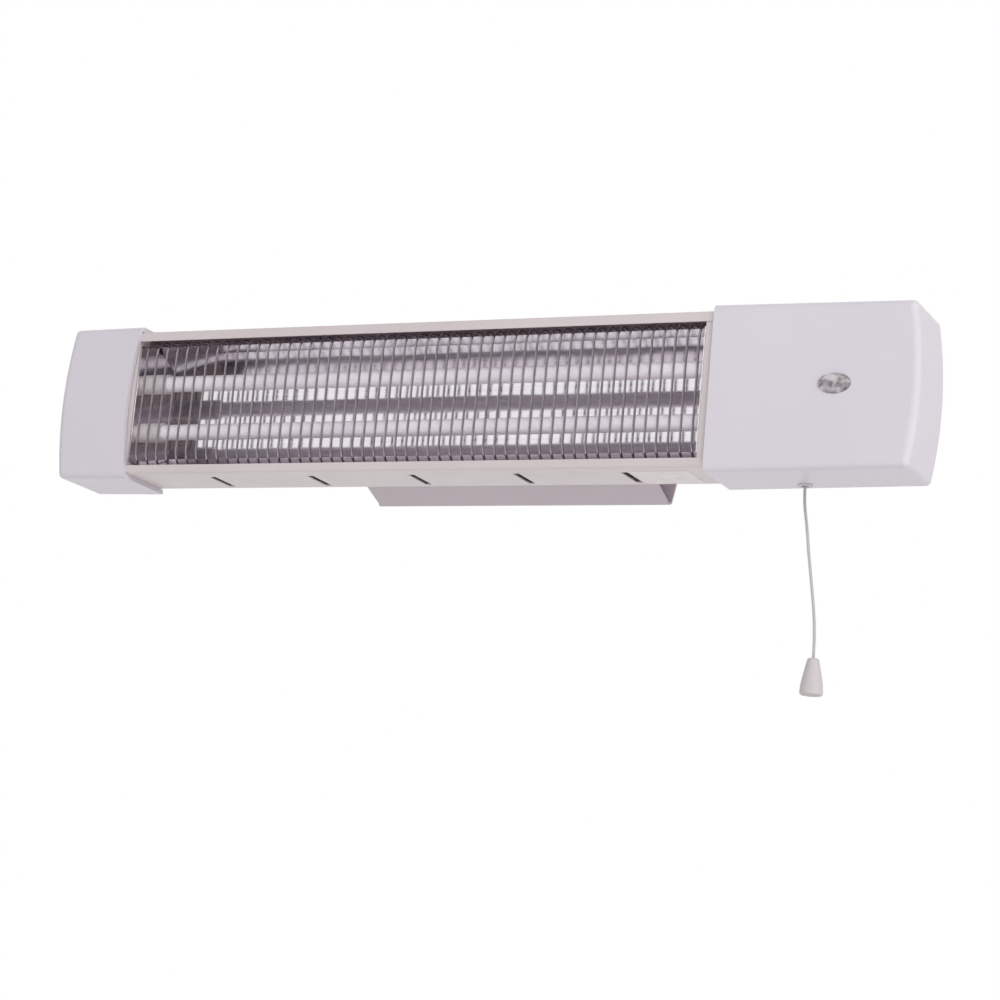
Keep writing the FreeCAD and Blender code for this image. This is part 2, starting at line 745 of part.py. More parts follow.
def end_cap(side, way, inner_edge, extra_holes, inner_bow=None):
    past_edge = f"({inner_edge} - {way} * {PAST})"
    end = f"({way} * {HALF})"
    end_half = f"({CAP_TOP} - {side}_cap_width * tan(cap_draft))"
    block = cap_block(f"cap_{side}_block", way, inner_edge, end, (CAP_TOP, end_half),
                      "standoff", "heater_depth", "cap_corner", inner_bow)
    front, rim = value(CAP_FRONT), value(inner_edge)

    def at_front(edge):
        spots = [vertex.Point for vertex in edge.Vertexes]
        off_rim = any(abs(spot.x - rim) > NEAR for spot in spots)
        return off_rim and all(abs(spot.y - front) < NEAR for spot in spots)

    rounded(block, "cap_edge", at_front)
    inner_end = f"({way} * ({HALF} - cap_wall))"
    inner_depth = "heater_depth - cap_wall - cap_front_wall"
    cavity = cap_block(f"cap_{side}_cavity", way, past_edge, inner_end, (CAP_INNER_TOP, CAP_INNER_TOP),
                       "standoff + cap_wall", inner_depth, "cap_inner_corner")
    low = past_edge if way > 0 else f"(-{CASE_END} - fit_gap)"
    opening = box(f"cap_{side}_opening", (low, f"{CAP_BACK} - 2 * cap_wall", f"-{CAP_INNER_TOP}"),
                  (f"{CASE_END} + fit_gap - {way} * {past_edge}", "4 * cap_wall", f"2 * {CAP_INNER_TOP}"))
    space = fuse(f"cap_{side}_space", [cavity, opening])
    shell = cut(f"cap_{side}_shell", block, [space])
    places = [(x, z) for x, z in boss_places() if value(x) * way > 0]
    boss_length = f"{CASE_INNER_BACK} - {CAP_INNER_FRONT} + cap_front_wall / 2"
    bosses = [cylinder(f"cap_{side}_boss", "+Y", (x, f"{CAP_INNER_FRONT} - cap_front_wall / 2", z),
                       "boss_diameter", boss_length) for x, z in places]
    pilots = [cylinder(f"cap_{side}_pilot", "-Y", (x, CASE_INNER_BACK, z), "cap_screw_diameter + 2 * fit_gap",
                       "cap_screw_length + 2 * fit_gap") for x, z in places]
    solid = fuse(f"cap_{side}_solid", [shell] + bosses)
    node(f"end_cap_{side}", cut(f"cap_{side}_cut", solid, pilots + extra_holes))


def end_caps():
    lens_hole = ellipse_block("lens_hole", "lens_width - 2 * lens_lip + 2 * fit_gap",
                              "lens_height - 2 * lens_lip + 2 * fit_gap", f"{CAP_FRONT} - cap_wall",
                              "cap_front_wall + 2 * cap_wall")
    cord_hole = cylinder("cap_cord_hole", "+Z", (CORD_X, CORD_Y, f"-{CAP_TOP} - cap_wall"),
                         f"{BUSH_BARREL} + 2 * fit_gap", "3 * cap_wall")
    end_cap("left", -1, LEFT_EDGE, [], inner_bow="cap_crown")
    end_cap("right", 1, RIGHT_EDGE, [lens_hole, cord_hole])


def screw_outline(shank, length, head, head_height):
    """Half section of a pan-head screw whose head sits at height 0."""
    return [
        ("0", f"-({length})"),
        (f"{shank} / 2", f"-({length})"),
        (f"{shank} / 2", "0"),
        (f"{head} / 2", "0"),
        (f"{head} / 2", f"{head_height} / 2"),
        (f"{head} / 4", head_height),
        ("0", head_height),
    ]


def cap_screws():
    outline = screw_outline("cap_screw_diameter", "cap_screw_length",
                            "cap_screw_head", "cap_screw_head_height")
    screws = [turned("cap_screw", outline, (x, CASE_BACK, z), "+Y") for x, z in boss_places()]
    node("cap_screws", group("cap_screw_set", screws))


# Indicator: clear oval lens, holder and lamp behind the right cap's front

def ellipse_block(name, width, height, start, depth):
    ring = doc.addObject("Part::Ellipse", f"{name}_ring")
    ring.setExpression("MajorRadius", tied(f"({width}) / 2"))
    ring.setExpression("MinorRadius", tied(f"({height}) / 2"))
    seat(ring, (LENS_X, start, "lens_raise"), TURNS["-Y"])
    item = doc.addObject("Part::Extrusion", name)
    item.Base = ring
    item.DirMode = "Custom"
    item.Dir = Vector(0, 1, 0)
    item.Solid = True
    item.setExpression("LengthFwd", tied(depth))
    return item


def indicator():
    dome = doc.addObject("Part::Ellipsoid", "lens_ball")
    dome.setExpression("Radius1", tied("lens_dome"))
    dome.setExpression("Radius2", tied("lens_width / 2"))
    dome.setExpression("Radius3", tied("lens_height / 2"))
    dome.Angle1 = 0
    seat(dome, (LENS_X, CAP_FRONT, "lens_raise"), TURNS["-Y"])
    plug = ellipse_block("lens_plug", "lens_width - 2 * lens_lip", "lens_height - 2 * lens_lip", CAP_FRONT,
                         "cap_front_wall + cap_wall / 2")
    node("indicator_lens", fuse("lens", [dome, plug]))
    low = (f"{LENS_X} - lens_width / 2 - holder_wall", CAP_INNER_FRONT,
           "lens_raise - lens_height / 2 - holder_wall")
    size = ("lens_width + 2 * holder_wall", "holder_depth", "lens_height + 2 * holder_wall")
    block = box("holder_block", low, size)
    cup = box("holder_cup_space", (f"{LENS_X} - lens_width / 2", f"{CAP_INNER_FRONT} - holder_cup",
                                   "lens_raise - lens_height / 2"),
              ("lens_width", "2 * holder_cup", "lens_height"))
    axis_start = (LENS_X, CAP_INNER_FRONT, "lens_raise")
    bore = cylinder("holder_bore", "+Y", axis_start, "lamp_diameter + 2 * fit_gap", "2 * holder_depth")
    node("lamp_holder", cut("holder", block, [fuse("holder_space", [cup, bore])]))
    lamp = [
        ("0", "-lamp_length"),
        ("lamp_diameter / 2", "-lamp_length"),
        ("lamp_diameter / 2", "-lamp_diameter / 4"),
        ("lamp_diameter / 4", "0"),
        ("0", "0"),
    ]
    node("indicator_lamp", turned("lamp", lamp, (LENS_X, LAMP_FRONT, "lens_raise"), "-Y"))


# Pull switch, its plunger, spring, bush, cord and knob

def pull_switch():
    axis = (CORD_X, CORD_Y)
    block = box("switch_block", (f"{CORD_X} - switch_width / 2", SWITCH_FRONT, SWITCH_BASE),
                ("switch_width", "switch_depth", "switch_height"))
    chamber = cylinder("switch_chamber", "+Z", (*axis, SWITCH_FLOOR), "switch_bore",
                       f"{SWITCH_ROOF} - {SWITCH_FLOOR}")
    bore = cylinder("switch_floor_bore", "+Z", (*axis, f"{SWITCH_BASE} - switch_floor"),
                    "plunger_diameter + 2 * slide_gap", "3 * switch_floor")
    node("switch_housing", cut("switch", block, [fuse("switch_space", [chamber, bore])]))
    plunger = [
        ("0", PLUNGER_END),
        ("plunger_diameter / 2", PLUNGER_END),
        ("plunger_diameter / 2", PLUNGER_SHOULDER),
        ("plunger_head / 2", PLUNGER_SHOULDER),
        ("plunger_head / 2", f"{PLUNGER_SHOULDER} + plunger_head_height"),
        ("0", f"{PLUNGER_SHOULDER} + plunger_head_height"),
    ]
    node("switch_plunger", turned("plunger", plunger, (*axis, "0"), "+Z"))
    node("return_spring", hollow("spring", "+Z", (*axis, f"{SWITCH_FLOOR} + fit_gap"), "spring_diameter",
                                 "spring_wire", f"{PLUNGER_SHOULDER} - {SWITCH_FLOOR} - 2 * fit_gap"))
    bush_bore = "(plunger_diameter / 2 + slide_gap)"
    bush = [
        (bush_bore, f"{CORD_SEAT} - bush_flange_height"),
        ("bush_flange / 2", f"{CORD_SEAT} - bush_flange_height"),
        ("bush_flange / 2", CORD_SEAT),
        (f"{BUSH_BARREL} / 2", CORD_SEAT),
        (f"{BUSH_BARREL} / 2", SWITCH_BASE),
        (bush_bore, SWITCH_BASE),
    ]
    node("cord_bush", turned("bush", bush, (*axis, "0"), "+Z"))


def tube_along(label, route, diameter):
    """A round tube along straight runs joined by arcs as large as the runs allow."""
    edges = []
    last = route[0]
    for before, corner, after in zip(route, route[1:], route[2:]):
        into, away = corner - before, after - corner
        half_turn = into.getAngle(away) / 2
        reach = BEND_SHARE * min(into.Length, away.Length)
        radius = reach / math.tan(half_turn)
        print(f"{label} bend radius {radius:.1f} mm")
        start = corner - into.normalize() * reach
        stop = corner + away.normalize() * reach
        inward = (start + stop) * 0.5 - corner
        middle = corner + inward.normalize() * (radius / math.cos(half_turn) - radius)
        edges += [Part.LineSegment(last, start).toShape(), Part.Arc(start, middle, stop).toShape()]
        last = stop
    edges.append(Part.LineSegment(last, route[-1]).toShape())
    path = Part.Wire(edges)
    ring = Part.Wire(Part.Circle(route[0], route[1] - route[0], value(f"{diameter} / 2")).toShape())
    tube = doc.addObject("Part::Feature", f"{label}_tube")
    tube.Shape = path.makePipeShell([ring], True, False)
    plain = math.pi * value(f"{diameter} / 2") ** 2 * path.Length
    print(f"{label} length {path.Length:.1f} mm, volume {tube.Shape.Volume:.1f} of {plain:.1f} mm3")
    return node(label, tube)


def pull_cord():
    top = Vector(value(CORD_X), value(CORD_Y), value(CORD_TOP))
    tube_along("pull_cord", [top + Vector(x, y, -down) for x, y, down in CORD_ROUTE], "cord_diameter")


def pull_knob():
    x, y, down = CORD_ROUTE[-1]
    bell = [
        ("0", "-knob_height"),
        ("knob_bottom / 2 - knob_round", "-knob_height"),
        ("knob_bottom / 2", "-knob_height + knob_round"),
        ("knob_bottom / 2", "-knob_height + knob_skirt"),
        ("knob_top / 2", "-knob_round"),
        ("knob_top / 2 - knob_round", "0"),
        ("0", "0"),
    ]
    place = (f"{CORD_X} + {x}", f"{CORD_Y} + {y}", f"{CORD_TOP} - {down}")
    node("pull_knob", turned("knob", bell, place, "+Z"))


# Supply side: terminal block, cable gland, earth screw and thermal cut-out

def pole_x(pole):
    return f"({BLOCK_X} + block_width / 2 + {pole} * block_pitch)"


def terminal_block():
    block = box("block_blank", (BLOCK_X, BLOCK_FRONT, BLOCK_BASE),
                ("block_width", "block_depth", "block_height"))
    spaces, screws = [], []
    for pole in (-1, 0, 1):
        x = pole_x(pole)
        bore = cylinder("block_bore_space", "+Z", (x, BLOCK_MIDDLE, f"{BLOCK_BASE} - block_height"),
                        "block_bore", "3 * block_height")
        height = f"{BLOCK_BASE} + block_height / 2"
        hole = cylinder("block_screw_space", "+Y", (x, f"{BLOCK_FRONT} - block_screw_depth", height),
                        "block_screw + 2 * fit_gap", "2 * block_screw_depth")
        spaces += [bore, hole]
        screws.append(cylinder("block_screw_body", "+Y",
                               (x, f"{BLOCK_FRONT} + block_screw_depth / 3", height),
                               "block_screw", "block_screw_depth * 2 / 3"))
    node("terminal_block", cut("block", block, [fuse("block_space", spaces)]))
    node("terminal_screws", group("block_screw_set", screws))


def leads():
    """Insulated leads inside the right cap, from one terminal to the next."""
    stud_x = f"({WINDOW_RIGHT} + case_sheet + ceramic_length + stud_show)"
    upper, lower = (tube_height(way) for way in LEVELS.values())
    entry_x, entry_y = f"({CORD_X} + switch_width / 4)", f"({SWITCH_BACK} - switch_depth * 3 / 4)"
    lamp_back = f"({LAMP_FRONT} + lamp_length)"
    halfway_back = f"({TUBE_Y} + {BLOCK_MIDDLE}) / 2"
    routes = {
        "lead_switch": [
            (pole_x(-1), BLOCK_MIDDLE, f"{BLOCK_BASE} + lead_insert"),
            (pole_x(-1), BLOCK_MIDDLE, f"{BLOCK_BASE} - lead_slack"),
            (entry_x, entry_y, f"{SWITCH_TOP} + lead_slack"),
            (entry_x, entry_y, SWITCH_TOP),
        ],
        "lead_upper_tube": [
            (stud_x, TUBE_Y, upper),
            (f"{stud_x} + lead_slack", TUBE_Y, upper),
            (f"{pole_x(0)} - 2 * lead_slack", halfway_back, f"{BLOCK_TOP} + lead_slack"),
            (pole_x(0), BLOCK_MIDDLE, f"{BLOCK_TOP} + lead_slack"),
            (pole_x(0), BLOCK_MIDDLE, f"{BLOCK_TOP} - lead_insert"),
        ],
        "lead_lower_tube": [
            (stud_x, TUBE_Y, lower),
            (f"{stud_x} + lead_slack", TUBE_Y, lower),
            (CORD_X, f"{SWITCH_FRONT} - lead_slack", f"{SWITCH_TOP} - lead_slack"),
            (CORD_X, SWITCH_FRONT, f"{SWITCH_TOP} - lead_slack"),
        ],
        "lead_lamp": [
            (LENS_X, lamp_back, "lens_raise"),
            (LENS_X, f"{lamp_back} + lead_slack", "lens_raise"),
            (pole_x(1), BLOCK_MIDDLE, f"{BLOCK_BASE} - lead_slack"),
            (pole_x(1), BLOCK_MIDDLE, f"{BLOCK_BASE} + lead_insert"),
        ],
    }
    for label, route in routes.items():
        tube_along(label, [Vector(*(value(text) for text in place)) for place in route], "lead_diameter")


def cable_gland():
    outline = [
        ("gland_bore / 2", "-case_sheet - gland_tail"),
        ("gland_barrel / 2", "-case_sheet - gland_tail"),
        ("gland_barrel / 2", "0"),
        ("gland_flange / 2", "0"),
        ("gland_flange / 2", "gland_flange_height / 2"),
        ("gland_barrel / 2", "gland_flange_height"),
        ("gland_bore / 2", "gland_flange_height"),
    ]
    node("cable_gland", turned("gland", outline, (GLAND_X, CASE_BACK, "-gland_drop"), "+Y"))


def earth_screw():
    outline = screw_outline("earth_diameter", "case_sheet + rivet_head_height",
                            "earth_head", "earth_head_height")
    node("earth_screw", turned("earth", outline, (EARTH_X, CASE_INNER_BACK, EARTH_Z), "-Y"))


def thermal_cutout():
    outline = [
        ("0", "0"),
        ("cutout_flange / 2", "0"),
        ("cutout_flange / 2", "case_sheet"),
        ("cutout_diameter / 2", "case_sheet"),
        ("cutout_diameter / 2", "cutout_length"),
        ("0", "cutout_length"),
    ]
    place = (f"{WINDOW_RIGHT} + case_sheet", TUBE_Y, "-tube_drop")
    node("thermal_cutout", turned("cutout", outline, place, "+X"))


# Wall bracket: sloped channel with two slots, and the pivot that lets the heater tilt

def wall_bracket():
    half = "(bracket_height / 2)"
    end_y = "(-bracket_flange * cos(bracket_slope))"
    end_z = f"({half} - bracket_flange * sin(bracket_slope))"
    line = [(end_y, end_z), ("0", half), ("0", f"-{half}"), (end_y, f"-{end_z}")]
    line.reverse()
    strip = folded("bracket_strip", line, "bracket_sheet", "-bracket_width / 2 - bracket_spread",
                   "bracket_width + 2 * bracket_spread")
    bends = doc.addObject("Part::Fillet", "bracket_bends")
    bends.Base = strip
    outside = [(0.0, sign * value(half)) for sign in (-1, 1)]
    tilt = math.radians(value("bracket_slope"))
    back_in = value("bracket_sheet") * math.tan((math.pi / 2 - tilt) / 2)
    inside = [(-value("bracket_sheet"), sign * (value(half) - back_in)) for sign in (-1, 1)]
    inner, outer = value("bracket_bend"), value("bracket_bend + bracket_sheet")
    rounds = []
    for number, edge in enumerate(strip.Shape.Edges, 1):
        if runs_along_x(edge, outside):
            rounds.append((number, outer, outer))
        elif runs_along_x(edge, inside):
            rounds.append((number, inner, inner))
    bends.Edges = rounds
    slots = [slot(f"{side} * slot_spacing / 2") for side in SIDES.values()]
    holes = [cylinder("ear_rivet_hole", "+Y", (x, "-2 * bracket_sheet", z), "rivet_diameter + 2 * fit_gap",
                      "4 * bracket_sheet") for x, z in rivet_places(EAR_FOOT)]
    node("wall_bracket", cut("bracket_cut", bends, slots + holes + bracket_trims()))


def bracket_trims():
    """What is cut off the blank: the flanges' ends, and the corners of the wider wall plate."""
    trims = []
    half = "(bracket_height / 2)"
    bend_depth = "(bracket_bend + 2 * bracket_sheet)"
    for way in SIDES.values():
        near = f"({way} * bracket_width / 2)"
        far = f"({way} * (bracket_width / 2 + bracket_spread))"
        past = f"({way} * (bracket_width / 2 + 2 * bracket_spread))"
        low = near if way > 0 else past
        trims.append(box("flange_end", (low, f"-{bend_depth} - bracket_flange", f"-{half}"),
                         ("2 * bracket_spread", "bracket_flange", "bracket_height")))
        for level in LEVELS.values():
            top = f"({level} * ({half} + bracket_sheet))"
            turn = f"({level} * ({half} - bracket_spread_height))"
            corner = [(near, top), (past, top), (past, turn), (far, turn)]
            trims.append(prism("plate_corner", "XZ", corner, "-bracket_sheet",
                               f"{bend_depth} + 2 * bracket_sheet"))
    return trims


def slot(middle):
    run = "(slot_length - slot_width)"
    low = (f"{middle} - {run} / 2", "-2 * bracket_sheet", "-slot_width / 2")
    pieces = [box("slot_middle", low, (run, "4 * bracket_sheet", "slot_width"))]
    for end in SIDES.values():
        pieces.append(cylinder("slot_end", "+Y", (f"{middle} + {end} * {run} / 2", "-2 * bracket_sheet", "0"),
                               "slot_width", "4 * bracket_sheet"))
    return fuse("slot", pieces)


def pivot_plate(name, way, near, base_y, foot_y, height, tip):
    """An angle piece: an ear with a round end for the pivot, and a foot that stands on its base."""
    low = near if way > 0 else f"(-{near} - ear_sheet)"
    middle = f"({way} * ({near} + ear_sheet - ear_foot / 2))"
    outline = [(base_y, f"-{height} / 2"), (base_y, f"{height} / 2"), (PIVOT_Y, tip), (PIVOT_Y, f"-{tip}")]
    ear = prism(f"{name}_ear", "YZ", outline, low, "ear_sheet")
    disc = cylinder(f"{name}_tip", "+X", (low, PIVOT_Y, "0"), f"2 * {tip}", "ear_sheet")
    foot = box(f"{name}_foot", (f"{middle} - ear_foot / 2", foot_y, f"-{height} / 2"),
               ("ear_foot", "ear_sheet", height))
    hole = cylinder(f"{name}_hole", "+X", (f"{low} - ear_sheet", PIVOT_Y, "0"),
                    "pivot_diameter + 2 * pivot_fit", "3 * ear_sheet")
    rivet_holes = [cylinder(f"{name}_rivet_hole", "+Y", (middle, f"{base_y} - 2 * ear_sheet", z),
                            "rivet_diameter + 2 * fit_gap", "4 * ear_sheet")
                   for z in ("rivet_spacing / 2", "-rivet_spacing / 2")]
    return cut(f"{name}_cut", fuse(f"{name}_solid", [ear, disc, foot]), [hole] + rivet_holes)


def tilt_pivot():
    screws, nuts, washers = [], [], []
    reach = f"({EAR_X} + ear_sheet - {LUG_X} + fit_gap)"
    outline = screw_outline("pivot_diameter", f"{reach} + pivot_nut_height + pivot_tail",
                            "pivot_head", "pivot_head_height")
    for side, way in SIDES.items():
        node(f"bracket_ear_{side}", pivot_plate(f"ear_{side}", way, EAR_X, EAR_BASE,
                                                f"({EAR_BASE} - ear_sheet)", "ear_height", "ear_tip"))
        node(f"tilt_lug_{side}", pivot_plate(f"lug_{side}", way, LUG_X, CASE_BACK, CASE_BACK,
                                             "lug_height", "lug_tip"))
        outward, inward = ("+X", "-X") if way > 0 else ("-X", "+X")
        outside = (f"{way} * ({EAR_X} + ear_sheet)", PIVOT_Y, "0")
        screws.append(turned(f"pivot_screw_{side}", outline, outside, outward))
        nuts.append(nut(f"pivot_nut_{side}", (f"{way} * ({LUG_X} - fit_gap)", PIVOT_Y, "0"), inward))
        washer_wall = "(washer_diameter - pivot_diameter) / 2 - pivot_fit"
        washers.append(hollow(f"pivot_washer_{side}", inward, (f"{way} * ({EAR_X} - fit_gap)", PIVOT_Y, "0"),
                              "washer_diameter", washer_wall, "washer_sheet"))
    node("tilt_screws", group("pivot_screw_set", screws))
    node("tilt_nuts", group("pivot_nut_set", nuts))
    node("friction_washers", group("pivot_washer_set", washers))


def nut(name, start, axis):
    blank = doc.addObject("Part::Prism", f"{name}_blank")
    blank.Polygon = 6
    blank.setExpression("Circumradius", tied("pivot_nut / 2"))
    blank.setExpression("Height", tied("pivot_nut_height"))
    seat(blank, start, TURNS[axis])
    hole = cylinder(f"{name}_hole", axis, start, "pivot_diameter + 2 * pivot_fit", "pivot_nut_height")
    return cut(name, blank, [hole])


def rivets():
    lug = [
        ("0", "-case_sheet - rivet_head_height"),
        ("rivet_head / 2", "-case_sheet - rivet_head_height"),
        ("rivet_head / 2", "-case_sheet"),
        ("rivet_diameter / 2", "-case_sheet"),
        ("rivet_diameter / 2", "ear_sheet"),
        ("rivet_head / 2", "ear_sheet"),
        ("rivet_diameter / 2", "ear_sheet + rivet_head_height"),
        ("0", "ear_sheet + rivet_head_height"),
    ]
    lug_set = [turned("lug_rivet", lug, (x, CASE_BACK, z), "+Y") for x, z in rivet_places(LUG_FOOT)]
    node("lug_rivets", group("lug_rivet_set", lug_set))
    ear = [
        ("0", "0"),
        ("rivet_diameter / 2", "0"),
        ("rivet_diameter / 2", "bracket_sheet + ear_sheet"),
        ("rivet_head / 2", "bracket_sheet + ear_sheet"),
        ("rivet_diameter / 2", "bracket_sheet + ear_sheet + rivet_head_height"),
        ("0", "bracket_sheet + ear_sheet + rivet_head_height"),
    ]
    ear_set = [turned("ear_rivet", ear, (x, "0", z), "-Y") for x, z in rivet_places(EAR_FOOT)]
    node("ear_rivets", group("ear_rivet_set", ear_set))


def check_and_write():
    doc.recompute()
    for item in doc.Objects:
        bad = {"Invalid", "Error"} & set(item.State)
        if bad:
            raise RuntimeError(f"{item.Label} is {bad}")
    for item in nodes:
        if item.Shape.isNull() or not item.Shape.isValid() or not item.Shape.Solids:
            raise RuntimeError(f"{item.Label} has no valid solid")
    os.makedirs("parts", exist_ok=True)
    for item in nodes:
        item.Shape.exportStep(f"parts/{item.Label}.step")
        print(f"{item.Label}: {len(item.Shape.Solids)} solid(s), {item.Shape.Volume:.0f} mm3")


fill_sheet()
case_shell()
bulkheads()
reflector()
reflector_ends()
quartz_tubes()
tube_ends()
link_strip()
wire_guard()
end_caps()
cap_screws()
indicator()
pull_switch()
pull_cord()
pull_knob()
terminal_block()
leads()
cable_gland()
earth_screw()
thermal_cutout()
wall_bracket()
tilt_pivot()
rivets()
check_and_write()
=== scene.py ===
import json
import math

import bmesh
import bpy
from mathutils import Matrix, Vector

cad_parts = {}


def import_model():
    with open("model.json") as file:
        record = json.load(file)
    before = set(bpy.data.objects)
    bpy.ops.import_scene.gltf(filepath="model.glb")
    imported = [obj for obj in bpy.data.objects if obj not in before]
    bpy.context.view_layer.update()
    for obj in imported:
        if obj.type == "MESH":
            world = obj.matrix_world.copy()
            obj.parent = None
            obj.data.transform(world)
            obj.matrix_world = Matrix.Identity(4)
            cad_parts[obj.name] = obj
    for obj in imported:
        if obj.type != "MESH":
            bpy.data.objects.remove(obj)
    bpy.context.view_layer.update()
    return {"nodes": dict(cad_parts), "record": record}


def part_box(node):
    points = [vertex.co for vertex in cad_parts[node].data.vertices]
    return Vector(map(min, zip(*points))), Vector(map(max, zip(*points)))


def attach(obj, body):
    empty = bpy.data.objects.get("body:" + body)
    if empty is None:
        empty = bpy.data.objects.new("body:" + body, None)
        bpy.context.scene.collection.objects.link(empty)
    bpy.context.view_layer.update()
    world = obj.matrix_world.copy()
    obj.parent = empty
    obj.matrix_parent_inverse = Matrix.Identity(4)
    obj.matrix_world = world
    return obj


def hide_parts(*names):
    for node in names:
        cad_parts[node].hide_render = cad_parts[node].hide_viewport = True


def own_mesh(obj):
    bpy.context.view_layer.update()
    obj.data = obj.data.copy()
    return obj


# Looks of the wall-mounted quartz heater. Metres, in the same frame as the solids.

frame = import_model()
nodes = frame["nodes"]
MM = 0.001

# Camera, placed as the photograph was taken
CAMERA_PLACE = Vector((0.72136, -1.55916, -0.40732))
CAMERA_RIGHT = Vector((0.90803, 0.40934, 0.08900))
CAMERA_UP = Vector((0.00598, -0.22510, 0.97431))
CAMERA_LENS = 96.54
CAMERA_SENSOR = 36

# Pull cord: its route from the top end, as chosen for the solids
CORD_ROUTE = [
    (0, 0, 0),
    (0, 0, -0.010),
    (0.0024, 0.0009, -0.024),
    (0.0044, 0.0018, -0.041),
    (0.0070, 0.0032, -0.0595),
    (0.0090, 0.0046, -0.075),
    (0.0103, 0.0056, -0.091),
    (0.0103, 0.0056, -0.1036),
]
CORD_DIAMETER = 2 * MM
CORD_STRANDS = 3
CORD_LAY = 5 * MM
STRAND_SIDES = 8
ROUTE_RESOLUTION = 32

# Pull knob: radius and depth below its top, in millimetres
KNOB_BELL = [
    (0, 0), (2.6, 0.05), (3.3, 0.5), (3.7, 1.4), (4.3, 4), (5.2, 8), (6.0, 12), (6.6, 15.5), (6.9, 18),
    (7.0, 20.6), (6.8, 21.6), (6.3, 22), (5.7, 21.8), (5.4, 21), (4.6, 20.4), (2.4, 20.2), (1.6, 19.6),
    (0, 19.5),
]
KNOB_SIDES = 48

# Wound wires: diameter and turns of each, and how finely a turn is drawn
COIL_WIRE = 0.7 * MM
COIL_TURNS = 130
SPRING_WIRE = 0.8 * MM
SPRING_TURNS = 7
TURN_STEPS = 14
WIRE_SIDES = 6

# Blank label on the case's underside
LABEL_LOW = Vector((113.5, -98, 0)) * MM
LABEL_HIGH = Vector((151.5, -67, 0)) * MM
LABEL_THICK = 0.2 * MM
LABEL_CORNER = 2 * MM
LABEL_CORNER_STEPS = 6

# Studio
FLOOR_Z = -1.8
FLOOR_SIZE = 14
FLOOR_GLOW = 0.48
FILL_LIGHT = 0.50
CARD_SIZE = (2.0, 2.6)
CARD_PLACE = Vector((1.25, -2.3, -0.1))
CARD_TURN = math.radians(29)

# Lamps: name, place, aim, size, power in watts and tint
LAMPS = [
    ("key", (1.6, -2.6, 1.3), (0, -0.05, 0), (2.4, 1.6), 40, (1, 0.985, 0.97)),
    ("under", (0.5, -0.5, -1.4), (0, -0.07, 0), (1.0, 0.6), 3.0, (1, 0.93, 0.9)),
    ("low", (1.4, -2.4, -1.1), (0, -0.05, 0), (2.2, 1.2), 10, (1, 0.985, 0.97)),
    ("side", (1.8, -0.4, 0.3), (0.2, -0.08, 0), (0.8, 1.0), 6, (1, 0.97, 0.94)),
]


class Look:
    """A material under construction: a principled shader and the textures that feed it."""

    def __init__(self, name, **constants):
        self.material = bpy.data.materials.new(name)
        self.material.use_nodes = True
        self.tree = self.material.node_tree
        self.shader = self.tree.nodes["Principled BSDF"]
        self.place = self.tree.nodes.new("ShaderNodeTexCoord").outputs["Object"]
        for label, value in constants.items():
            self.shader.inputs[label.replace("_", " ")].default_value = value

    def node(self, kind, **inputs):
        made = self.tree.nodes.new(f"ShaderNode{kind}")
        for label, value in inputs.items():
            socket = made.inputs[label.replace("_", " ")]
            if isinstance(value, bpy.types.NodeSocket):
                self.tree.links.new(value, socket)
            else:
                socket.default_value = value
        return made

    def stretched(self, stretch):
        return self.node("Mapping", Vector=self.place, Scale=stretch).outputs["Vector"]

    def noise(self, scale, detail=4.0, stretch=(1, 1, 1)):
        """Noise whose grain is about 1 / scale metres."""
        made = self.node("TexNoise", Vector=self.stretched(stretch), Scale=scale, Detail=detail)
        return made.outputs["Fac"]

    def ramp(self, factor, stops):
        """A colour or grey that follows factor through (position, value) stops."""
        made = self.node("ValToRGB", Fac=factor)
        band = made.color_ramp
        while len(band.elements) < len(stops):
            band.elements.new(0.5)
        for element, (position, value) in zip(band.elements, stops):
            element.position = position
            element.color = (*value, 1) if isinstance(value, tuple) else (value, value, value, 1)
        return made.outputs["Color"]

    def feed(self, label, socket):
        self.tree.links.new(socket, self.shader.inputs[label])

    def bump(self, height, strength, distance):
        made = self.node("Bump", Height=height, Strength=strength, Distance=distance)
        if self.shader.inputs["Normal"].links:
            self.tree.links.new(self.shader.inputs["Normal"].links[0].from_socket, made.inputs["Normal"])
        self.feed("Normal", made.outputs["Normal"])


def colour(red, green, blue):
    """A scene colour from screen values of 0 to 255."""
    def linear(level):
        share = level / 255
        return share / 12.92 if share <= 0.04045 else ((share + 0.055) / 1.055) ** 2.4
    return linear(red), linear(green), linear(blue)


# Materials

def enamel(name, dark, light):
    """Stoved enamel on sheet steel: faint orange peel and slow changes of shade."""
    look = Look(name, Specular_IOR_Level=0.5, Coat_Weight=0.15, Coat_Roughness=0.2)
    look.feed("Base Color", look.ramp(look.noise(9, 5), [(0.3, dark), (0.7, light)]))
    look.feed("Roughness", look.ramp(look.noise(60), [(0.3, 0.34), (0.7, 0.46)]))
    look.bump(look.noise(850, 2), 0.12, 0.15 * MM)
    look.bump(look.noise(25, 2), 0.1, 0.6 * MM)
    return look.material


def moulded(name, dark, light, roughness=0.36):
    """Injection-moulded plastic: a fine spark texture over slow changes of shade."""
    look = Look(name, Specular_IOR_Level=0.5)
    look.feed("Base Color", look.ramp(look.noise(7, 4), [(0.25, dark), (0.75, light)]))
    look.feed("Roughness", look.ramp(look.noise(240, 3), [(0.3, roughness - 0.05), (0.7, roughness + 0.06)]))
    look.bump(look.noise(2600, 2), 0.1, 0.05 * MM)
    look.bump(look.noise(14, 2), 0.08, 0.8 * MM)
    return look.material


